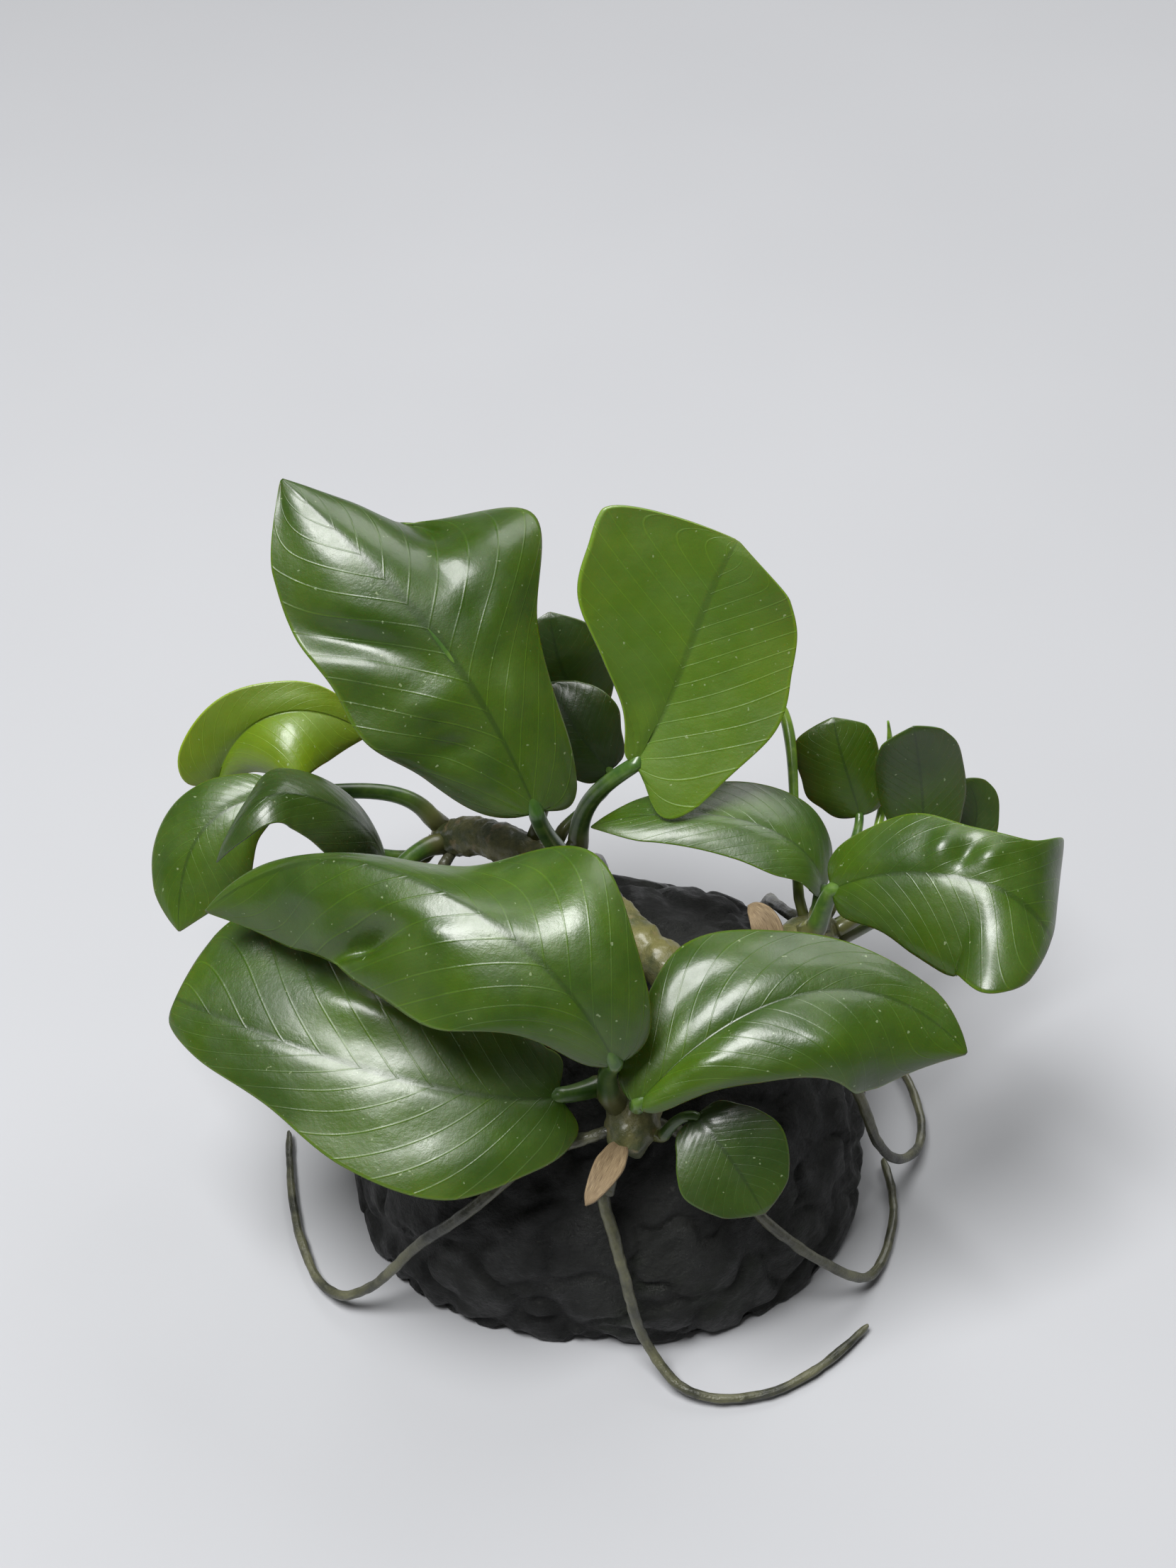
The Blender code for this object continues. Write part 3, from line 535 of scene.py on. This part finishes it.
def mesh_object(name, shells, materials):
    """One object from several closed shells, each with its own material."""
    points, faces, coords, looks = [], [], [], []
    start = 0
    for look, (shell_points, shell_faces, shell_coords) in enumerate(shells):
        points.append(shell_points)
        coords.append(shell_coords)
        faces += [tuple(start + k for k in face) for face in shell_faces]
        looks += [look] * len(shell_faces)
        start += len(shell_points)
    points = np.concatenate(points) * MM
    mesh = bpy.data.meshes.new(name)
    mesh.from_pydata([tuple(p) for p in points], [], faces)
    mesh.polygons.foreach_set("material_index", looks)
    mesh.polygons.foreach_set("use_smooth", [True] * len(faces))
    leaf_map = mesh.attributes.new("leaf", "FLOAT_VECTOR", "POINT")
    leaf_map.data.foreach_set("vector", np.concatenate(coords).ravel())
    for material in materials:
        mesh.materials.append(material)
    mesh.update()
    obj = bpy.data.objects.new(name, mesh)
    bpy.context.scene.collection.objects.link(obj)
    return obj


def stand_for(obj, node):
    """Let a fine piece take its CAD node's place: hide the node and attach the piece to the root
    body.
    """
    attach(obj, "root")
    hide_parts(node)


class Nodes:
    """A material's node tree, built one node at a time."""

    def __init__(self, name):
        self.material = bpy.data.materials.new(name)
        self.material.use_nodes = True
        self.tree = self.material.node_tree
        self.shader = self.tree.nodes["Principled BSDF"]

    def add(self, kind, **settings):
        node = self.tree.nodes.new(kind)
        for key, value in settings.items():
            setattr(node, key, value)
        return node

    def link(self, source, target):
        self.tree.links.new(source, target)

    def math(self, operation, a, b=None):
        node = self.add("ShaderNodeMath", operation=operation)
        for socket, value in zip(node.inputs, (a, b)):
            if value is None:
                continue
            if isinstance(value, (int, float)):
                socket.default_value = value
            else:
                self.link(value, socket)
        return node.outputs[0]

    def fit(self, value, low, high, to_low=0.0, to_high=1.0):
        node = self.add("ShaderNodeMapRange", interpolation_type="SMOOTHSTEP")
        self.link(value, node.inputs["Value"])
        node.inputs["From Min"].default_value = low
        node.inputs["From Max"].default_value = high
        node.inputs["To Min"].default_value = to_low
        node.inputs["To Max"].default_value = to_high
        return node.outputs["Result"]

    def noise(self, scale, detail=3.0, roughness=0.55, vector=None):
        node = self.add("ShaderNodeTexNoise")
        node.inputs["Scale"].default_value = scale
        node.inputs["Detail"].default_value = detail
        node.inputs["Roughness"].default_value = roughness
        if vector is None:
            vector = self.add("ShaderNodeTexCoord").outputs["Object"]
        self.link(vector, node.inputs["Vector"])
        return node.outputs["Fac"]

    def mix(self, factor, a, b):
        node = self.add("ShaderNodeMix", data_type="RGBA")
        for socket, value in ((node.inputs[0], factor), (node.inputs[6], a), (node.inputs[7], b)):
            if isinstance(value, tuple):
                socket.default_value = (*value, 1.0)
            elif isinstance(value, (int, float)):
                socket.default_value = value
            else:
                self.link(value, socket)
        return node.outputs[2]

    def bump(self, height, strength, distance, normal=None):
        node = self.add("ShaderNodeBump")
        node.inputs["Strength"].default_value = strength
        node.inputs["Distance"].default_value = distance
        self.link(height, node.inputs["Height"])
        if normal is not None:
            self.link(normal, node.inputs["Normal"])
        return node.outputs["Normal"]

    def finish(self, colour, roughness, normal=None, **constants):
        self.link(colour, self.shader.inputs["Base Color"])
        if isinstance(roughness, (int, float)):
            self.shader.inputs["Roughness"].default_value = roughness
        else:
            self.link(roughness, self.shader.inputs["Roughness"])
        if normal is not None:
            self.link(normal, self.shader.inputs["Normal"])
        for key, value in constants.items():
            self.shader.inputs[key.replace("_", " ")].default_value = value
        return self.material


def leaf_material(name, dark, light, under, gloss):
    """Leathery leaf skin: blotches, arched veins, painted sheen glints, wet grain."""
    n = Nodes(name)
    place = n.add("ShaderNodeAttribute", attribute_name="leaf").outputs["Vector"]
    split = n.add("ShaderNodeSeparateXYZ")
    n.link(place, split.inputs[0])
    across = n.math("ABSOLUTE", split.outputs[0])
    along = split.outputs[1]
    swept = n.math("SUBTRACT", along, n.math("MULTIPLY", n.math("POWER", across, VEIN_BOW), SWEEP))
    beat = n.math("FRACT", n.math("MULTIPLY", swept, SIDE_VEINS))
    off = n.math("ABSOLUTE", n.math("SUBTRACT", beat, 0.5))
    side_vein = n.fit(off, 0.5, 0.44)
    fine = n.math("FRACT", n.math("MULTIPLY", swept, SIDE_VEINS * FINE_VEINS_EACH))
    fine_vein = n.fit(n.math("ABSOLUTE", n.math("SUBTRACT", fine, 0.5)), 0.5, 0.3)
    midrib = n.fit(across, 0.05, 0.015)
    blotch = n.noise(70.0, 4.0, 0.6)
    broad = n.noise(24.0, 2.0)
    skin = n.mix(n.fit(blotch, 0.35, 0.68), dark, light)
    skin = n.mix(n.fit(broad, 0.42, 0.66, 0.0, 0.55), skin, tuple(0.62 * c for c in dark))
    skin = n.mix(n.math("MULTIPLY", side_vein, 0.35), skin, tuple(0.5 * c for c in dark))
    skin = n.mix(n.math("MULTIPLY", fine_vein, 0.12), skin, tuple(0.6 * c for c in dark))
    skin = n.mix(n.math("MULTIPLY", midrib, 0.5), skin, tuple(0.45 * c for c in dark))
    edge = n.fit(across, 0.955, 0.995)
    skin = n.mix(n.math("MULTIPLY", edge, 0.5), skin, tuple(1.5 * c for c in light))
    # Painted highlight: sparse pale grey-green flecks stand for the glints of the leaf's fine wet
    # sheen, not marks on the leaf.
    painted_sheen_glints = n.fit(n.noise(1500.0, 1.0), 0.735, 0.78)
    skin = n.mix(n.math("MULTIPLY", painted_sheen_glints, 0.35), skin, (0.35, 0.42, 0.25))
    skin = n.mix(n.math("SUBTRACT", 1.0, split.outputs[2]), skin, under)
    grain = n.noise(1100.0, 3.0, 0.7)
    rough = n.fit(n.noise(180.0, 3.0), 0.3, 0.7, gloss, gloss + 0.16)
    normal = n.bump(n.math("SUBTRACT", 1.0, side_vein), 0.25, 0.0002)
    normal = n.bump(grain, 0.35, 0.00016, normal)
    return n.finish(skin, rough, normal, Coat_Weight=0.25, Coat_Roughness=0.18,
                    Subsurface_Weight=0.12, Subsurface_Scale=0.002)


def stalk_material(name, dark, light):
    """Streaked green skin, browner toward the foot."""
    n = Nodes(name)
    place = n.add("ShaderNodeAttribute", attribute_name="leaf").outputs["Vector"]
    split = n.add("ShaderNodeSeparateXYZ")
    n.link(place, split.inputs[0])
    streak = n.noise(420.0, 4.0, 0.6)
    skin = n.mix(n.fit(streak, 0.35, 0.7), dark, light)
    skin = n.mix(n.fit(split.outputs[1], 0.12, 0.0, 0.0, 0.7), skin, (0.12, 0.1, 0.04))
    normal = n.bump(streak, 0.3, 0.0002)
    return n.finish(skin, 0.34, normal, Coat_Weight=0.3, Coat_Roughness=0.2)


def rhizome_material():
    """Mottled olive skin with brown scars."""
    n = Nodes("rhizome_skin")
    patch = n.noise(160.0, 5.0, 0.65)
    skin = n.mix(n.fit(patch, 0.35, 0.65), (0.035, 0.045, 0.012), (0.14, 0.13, 0.04))
    skin = n.mix(n.fit(n.noise(420.0, 3.0), 0.58, 0.7, 0.0, 0.6), skin, (0.2, 0.15, 0.07))
    normal = n.bump(n.noise(600.0, 5.0, 0.7), 0.6, 0.0006)
    return n.finish(skin, 0.5, normal, Coat_Weight=0.3, Coat_Roughness=0.25)


def root_material():
    """Dark root skin with paler stretches."""
    n = Nodes("root_skin")
    patch = n.noise(140.0, 5.0, 0.65)
    skin = n.mix(n.fit(patch, 0.35, 0.65), (0.018, 0.02, 0.012), (0.1, 0.1, 0.055))
    normal = n.bump(n.noise(900.0, 4.0, 0.7), 0.6, 0.0004)
    return n.finish(skin, 0.42, normal, Coat_Weight=0.35, Coat_Roughness=0.2)


def sheath_material():
    """Dry straw with fibres along its length."""
    n = Nodes("sheath_straw")
    place = n.add("ShaderNodeAttribute", attribute_name="leaf").outputs["Vector"]
    fibre = n.add("ShaderNodeMapping")
    n.link(place, fibre.inputs["Vector"])
    fibre.inputs["Scale"].default_value = (14.0, 2.0, 1.0)
    streak = n.noise(3.0, 4.0, 0.6, fibre.outputs["Vector"])
    skin = n.mix(n.fit(streak, 0.35, 0.65), (0.09, 0.055, 0.025), (0.27, 0.2, 0.11))
    return n.finish(skin, 0.65, n.bump(streak, 0.4, 0.0003))


def stone_material():
    """Wet black rock: pits, faint green film and a broken shine."""
    n = Nodes("stone_black")
    patch = n.noise(60.0, 6.0, 0.65)
    skin = n.mix(n.fit(patch, 0.35, 0.7), (0.0035, 0.004, 0.0035), (0.013, 0.014, 0.012))
    film = n.fit(n.noise(34.0, 5.0, 0.7), 0.56, 0.72, 0.0, 0.6)
    skin = n.mix(film, skin, (0.009, 0.016, 0.004))
    chips = n.fit(n.noise(700.0, 2.0), 0.68, 0.76, 0.0, 0.5)
    skin = n.mix(chips, skin, (0.04, 0.04, 0.035))
    rough = n.fit(n.noise(220.0, 4.0), 0.35, 0.65, 0.28, 0.7)
    normal = n.bump(n.noise(260.0, 8.0, 0.7), 0.9, 0.0012)
    normal = n.bump(n.noise(1300.0, 4.0, 0.7), 0.5, 0.0003, normal)
    return n.finish(skin, rough, normal, Specular_IOR_Level=0.3)


def crag(place, seed):
    """Height of broken rock, from 0 on its outer faces down to -1 in its cracks."""
    at = place / CRAG_SIZE + Vector((seed, 2.0 * seed, 0.5 * seed))
    near = noise.voronoi(at + CRAG_BEND * noise.noise_vector(CRAG_BEND_RATE * at))[0]
    crack = math.exp(-((near[1] - near[0]) / CRACK_WIDTH) ** 2)
    facet = 0.5 + 0.5 * noise.fractal(at * FACET_RATE, 0.8, 2.1, 5)
    return -CRACK_SHARE * crack - FACET_SHARE * min(max(facet, 0.0), 1.0)


def rough_skin(place, seed):
    """Low, even wear for stems and roots, from about -1 to 1."""
    return noise.fractal(place / SKIN_GRAIN + Vector((3.1, 1.7, 0.9)) * seed, 0.9, 2.1, 4)


def middle_near(points, place, reach):
    """The middle of the points within reach of a place, in millimetres."""
    return np.mean([point for point in points if (point - place).length < reach], axis=0) / MM


def root_top(mesh):
    """Guide points from inside a root's top into the rhizome."""
    points = [vert.co for vert in mesh.vertices]
    nearest = min(points, key=lambda place: CROWN_SKIN.find_nearest(place)[3])
    rim = middle_near(points, nearest, ROOT_RIM)
    inside = middle_near(points, nearest, ROOT_OVERLAP)
    return inside, 0.5 * (inside + rim), rim, sunk_foot(rim, inside)


def grow_neck(mesh, guide, radius):
    """Add the short neck that joins a stem or root to the stem it grew from."""
    line = bezier(guide, np.linspace(0, 1, NECK_RINGS))
    points, faces, _ = tube_shell(line, np.full(NECK_RINGS, radius))
    grown = bmesh.new()
    grown.from_mesh(mesh)
    corners = [grown.verts.new(Vector(point) * MM) for point in points]
    for face in faces:
        grown.faces.new([corners[k] for k in face])
    grown.to_mesh(mesh)
    grown.free()


def refined(node, name, shape_modifier, height, depth, material, seed):
    """A fine copy of a CAD node's mesh, worn along its normals by a height function."""
    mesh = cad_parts[node].data.copy()
    if node == "rhizome_back_fork":
        grow_neck(mesh, FORK_NECK, FORK_NECK_RADIUS)
    if node.startswith("root_"):
        grow_neck(mesh, root_top(mesh), ROOT_NECK_RADIUS)
    mesh.name = name
    obj = bpy.data.objects.new(name, mesh)
    bpy.context.scene.collection.objects.link(obj)
    shape_modifier(obj)
    bpy.context.view_layer.update()
    shaped = obj.evaluated_get(bpy.context.evaluated_depsgraph_get())
    fine = bpy.data.meshes.new_from_object(shaped)
    obj.modifiers.clear()
    obj.data = fine
    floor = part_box(node)[0].z
    worn = [vert.co + vert.normal * (depth * height(vert.co, seed)) for vert in fine.vertices]
    for vert, place in zip(fine.vertices, worn):
        vert.co = (place.x, place.y, max(place.z, floor))
    fine.materials.clear()
    fine.materials.append(material)
    fine.polygons.foreach_set("use_smooth", [True] * len(fine.polygons))
    fine.polygons.foreach_set("material_index", [0] * len(fine.polygons))
    fine.update()
    stand_for(obj, node)


def voxels(cell, rounds):
    """Modifiers that make an even fine mesh and soften its facets."""
    def add_to(obj):
        remesh = obj.modifiers.new("remesh", "REMESH")
        remesh.mode = "VOXEL"
        remesh.voxel_size = cell
        even = obj.modifiers.new("even", "SMOOTH")
        even.factor = SMOOTHING_FACTOR
        even.iterations = rounds
    return add_to


def rounded_tube(obj):
    """Modifiers that turn a faceted, bent tube into a smoothly curved one."""
    weld = obj.modifiers.new("weld", "WELD")
    weld.merge_threshold = WELD_DISTANCE
    bends = obj.modifiers.new("bends", "SUBSURF")
    bends.levels = ROOT_SUBDIVISION
    bends.render_levels = ROOT_SUBDIVISION


def leaf_looks():
    """The leaf materials: dark, light and underside colours, and roughness."""
    return {
        "mid": leaf_material("leaf_mid", (0.026, 0.066, 0.001), (0.062, 0.125, 0.002),
                             (0.05, 0.11, 0.006), 0.34),
        "bright": leaf_material("leaf_bright", (0.06, 0.13, 0.002), (0.1, 0.185, 0.005),
                                (0.07, 0.14, 0.01), 0.4),
        "deep": leaf_material("leaf_deep", (0.018, 0.045, 0.002), (0.04, 0.08, 0.006),
                              (0.03, 0.07, 0.01), 0.33),
        "young": leaf_material("leaf_young", (0.11, 0.19, 0.002), (0.17, 0.26, 0.004),
                               (0.16, 0.25, 0.008), 0.4),
    }


def build_leaves():
    looks = leaf_looks()
    stalk = stalk_material("leaf_stalk", (0.03, 0.08, 0.01), (0.08, 0.15, 0.02))
    for seed, (name, leaf) in enumerate(LEAVES.items()):
        large = rib_length(leaf) > LARGE_LEAF_LENGTH
        grid = LARGE_LEAF_GRID if large else SMALL_LEAF_GRID
        shells = (blade_shell(leaf, seed, *grid), stalk_shell(leaf))
        obj = mesh_object("fine_" + name, shells, (looks[leaf["look"]], stalk))
        stand_for(obj, name)


def build_sheaths():
    straw = sheath_material()
    for seed, (name, leaf) in enumerate(SHEATHS.items()):
        start, ahead = (np.array(point, float) for point in leaf["rib"][:2])
        rooted = dict(leaf, rib=(tuple(sunk_foot(start, ahead)),) + leaf["rib"][1:])
        shell = blade_shell(rooted, SHEATH_SEED + seed, *SHEATH_GRID)
        obj = mesh_object("fine_" + name, (shell,), (straw,))
        stand_for(obj, name)


def build_shoots():
    shoot = stalk_material("shoot_skin", (0.1, 0.2, 0.015), (0.22, 0.36, 0.04))
    for name, (guide, radius) in SHOOTS.items():
        along = np.linspace(0, 1, SHOOT_RINGS)
        knots = np.linspace(0, 1, len(SHOOT_RADII))
        radii = radius * np.interp(along, knots, SHOOT_RADII)
        line = bezier(guide, along)
        line = np.concatenate((sunk_foot(line[0], line[1])[None], line))
        radii = np.concatenate((radii[:1], radii))
        obj = mesh_object("fine_" + name, (tube_shell(line, radii),), (shoot,))
        stand_for(obj, name)


def build_hard():
    stone_shape = voxels(STONE_VOXEL, STONE_SMOOTHING)
    refined("stone", "fine_stone", stone_shape, crag, STONE_DEPTH, stone_material(), 1)
    rhizome = rhizome_material()
    stem_shape = voxels(RHIZOME_VOXEL, RHIZOME_SMOOTHING)
    for seed, node in enumerate(("rhizome_main", "rhizome_back_fork"), 2):
        refined(node, "fine_" + node, stem_shape, rough_skin, RHIZOME_DEPTH, rhizome, seed)
    root = root_material()
    for seed, node in enumerate(sorted(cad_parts), 5):
        if node.startswith("root_"):
            refined(node, "fine_" + node, rounded_tube, rough_skin, ROOT_DEPTH, root, seed)


def build_floor():
    bpy.ops.mesh.primitive_plane_add(size=4.0, location=(0, 0.6, 0))
    floor = bpy.context.object
    floor.name = "floor"
    n = Nodes("floor_pale")
    tone = n.mix(n.noise(9.0, 3.0), (0.35, 0.355, 0.37), (0.38, 0.385, 0.4))
    floor.data.materials.append(n.finish(tone, 0.85))


def build_lights():
    world = bpy.data.worlds.new("studio")
    scene = bpy.context.scene
    scene.world = world
    scene.view_settings.view_transform = "Standard"
    world.use_nodes = True
    sky = world.node_tree.nodes["Background"]
    sky.inputs["Color"].default_value = (1.0, 0.99, 0.97, 1.0)
    sky.inputs["Strength"].default_value = 0.12
    for name, place, aim, size, power in (
            ("softbox_over", (-0.2, -0.12, 0.78), (0, 0.02, 0.05), 0.36, 11.0),
            ("softbox_back", (0.25, 0.5, 0.6), (0, 0, 0.06), 0.5, 3.0)):
        light = bpy.data.lights.new(name, "AREA")
        light.shape = "SQUARE"
        light.size = size
        light.energy = power
        lamp = bpy.data.objects.new(name, light)
        scene.collection.objects.link(lamp)
        lamp.location = place
        way = Vector(aim) - Vector(place)
        lamp.rotation_euler = way.to_track_quat("-Z", "Y").to_euler()


def build_camera():
    data = bpy.data.cameras.new("camera")
    data.lens = CAMERA_LENS
    data.sensor_width = 36.0
    data.clip_start = 0.01
    camera = bpy.data.objects.new("camera", data)
    bpy.context.scene.collection.objects.link(camera)
    down, roll = math.radians(CAMERA_DOWN), math.radians(CAMERA_ROLL)
    ahead = Vector((0, math.cos(down), -math.sin(down)))
    level = Vector((1, 0, 0))
    above = level.cross(ahead)
    right = level * math.cos(roll) + above * math.sin(roll)
    above = above * math.cos(roll) - level * math.sin(roll)
    turn = Matrix((right, above, -ahead)).transposed().to_4x4()
    camera.matrix_world = Matrix.Translation(CAMERA_PLACE) @ turn
    bpy.context.scene.camera = camera


noise.seed_set(NOISE_SEED)
CROWN_SKIN = crown_skin()
build_camera()
build_floor()
build_lights()
build_hard()
build_leaves()
build_sheaths()
build_shoots()
